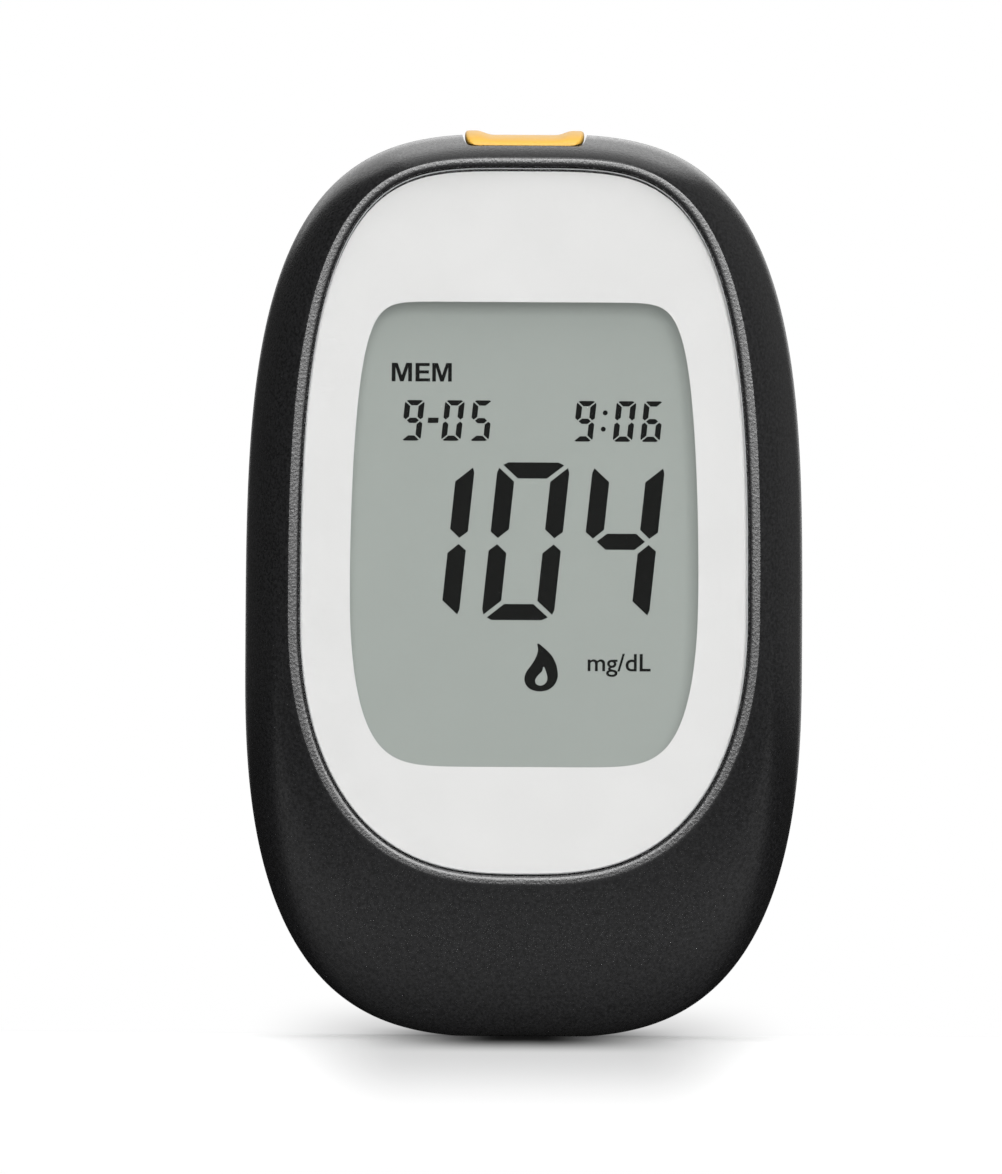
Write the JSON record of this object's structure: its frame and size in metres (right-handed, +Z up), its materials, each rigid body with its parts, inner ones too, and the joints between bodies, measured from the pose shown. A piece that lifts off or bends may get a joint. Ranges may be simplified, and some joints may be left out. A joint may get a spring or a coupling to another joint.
{
  "type": "blood glucose meter",
  "caption": "Pocket blood glucose meter: egg-shaped black shell, flush white face with a segment display, yellow test-strip port on top, keys and battery door on the back.",
  "frame": {"origin": "middle of the bounding box's underside, on the surface that the meter stands on", "axes": "+X to the right as seen from the front, +Z up towards the strip port, +Y through the meter from its face to its back"},
  "size_m": [0.053, 0.0174, 0.0862],
  "materials": {
    "housing": "moulded ABS with a fine spark-eroded grain",
    "lens": "clear acrylic, polished, with a bevelled rim",
    "face_print": "white ink on the back of a film, seen through the lens",
    "adhesive": "clear acrylic transfer adhesive",
    "display_glass": "reflective liquid-crystal panel, grey-green",
    "display_frame": "moulded white plastic",
    "elastomer": "layered conductive silicone",
    "board": "glass-epoxy laminate with green solder mask",
    "chip": "moulded black epoxy",
    "can": "drawn metal can",
    "inner_plastic": "moulded black plastic",
    "port": "moulded yellow plastic, satin",
    "contact": "gold-plated spring bronze",
    "key": "moulded dark grey plastic, satin",
    "nylon": "natural nylon",
    "spring": "bright spring steel",
    "cell": "nickel-plated can",
    "screw": "zinc-plated steel"
  },
  "bodies": {
    "case": {"front_housing": "housing", "rear_housing": "housing", "display_lens": "lens", "face_film": "face_print", "lens_adhesive": "adhesive", "lcd_glass": "display_glass", "lcd_holder": "display_frame", "zebra_strip_upper": "elastomer", "zebra_strip_lower": "elastomer", "circuit_board": "board", "processor_chip": "chip", "amplifier_chip": "chip", "memory_chip": "chip", "temperature_sensor": "chip", "timing_crystal": "can", "reservoir_capacitor": "can", "buzzer": "inner_plastic", "strip_port": "port", "strip_connector": "inner_plastic", "strip_contact_left": "contact", "strip_contact_middle": "contact", "strip_contact_right": "contact", "ejector_spring": "spring", "main_switch": "inner_plastic", "set_switch": "inner_plastic", "coin_cell": "cell", "battery_negative_contact": "spring", "battery_positive_contact": "spring", "case_screw_lower_left": "screw", "case_screw_lower_right": "screw", "case_screw_upper_left": "screw", "case_screw_upper_right": "screw"},
    "ejector": {"ejector_knob": "key", "ejector_carriage": "nylon"},
    "main_button": {"main_key": "key", "main_switch_plunger": "nylon"},
    "set_button": {"set_key": "key", "set_switch_plunger": "nylon"},
    "door": {"battery_door": "housing"}
  },
  "joints": [
    {"name": "ejector_slide", "type": "slide", "parent": "case", "child": "ejector", "axis": [0, 0, 1], "range_m": [0, 0.005], "stiffness_N_per_m": 150, "springref_m": -0.003, "deforming": ["ejector_spring"]},
    {"name": "main_key_press", "type": "slide", "parent": "case", "child": "main_button", "axis": [0, -1, 0], "range_m": [0, 0.0004], "stiffness_N_per_m": 800, "springref_m": -0.0015},
    {"name": "set_key_press", "type": "slide", "parent": "case", "child": "set_button", "axis": [0, -1, 0], "range_m": [0, 0.0004], "stiffness_N_per_m": 800, "springref_m": -0.0015},
    {"name": "battery_door_hinge", "type": "hinge", "parent": "case", "child": "door", "pos_m": [0, 0.0087, 0.0088], "axis": [-1, 0, 0], "range_deg": [0, 75]}
  ]
}
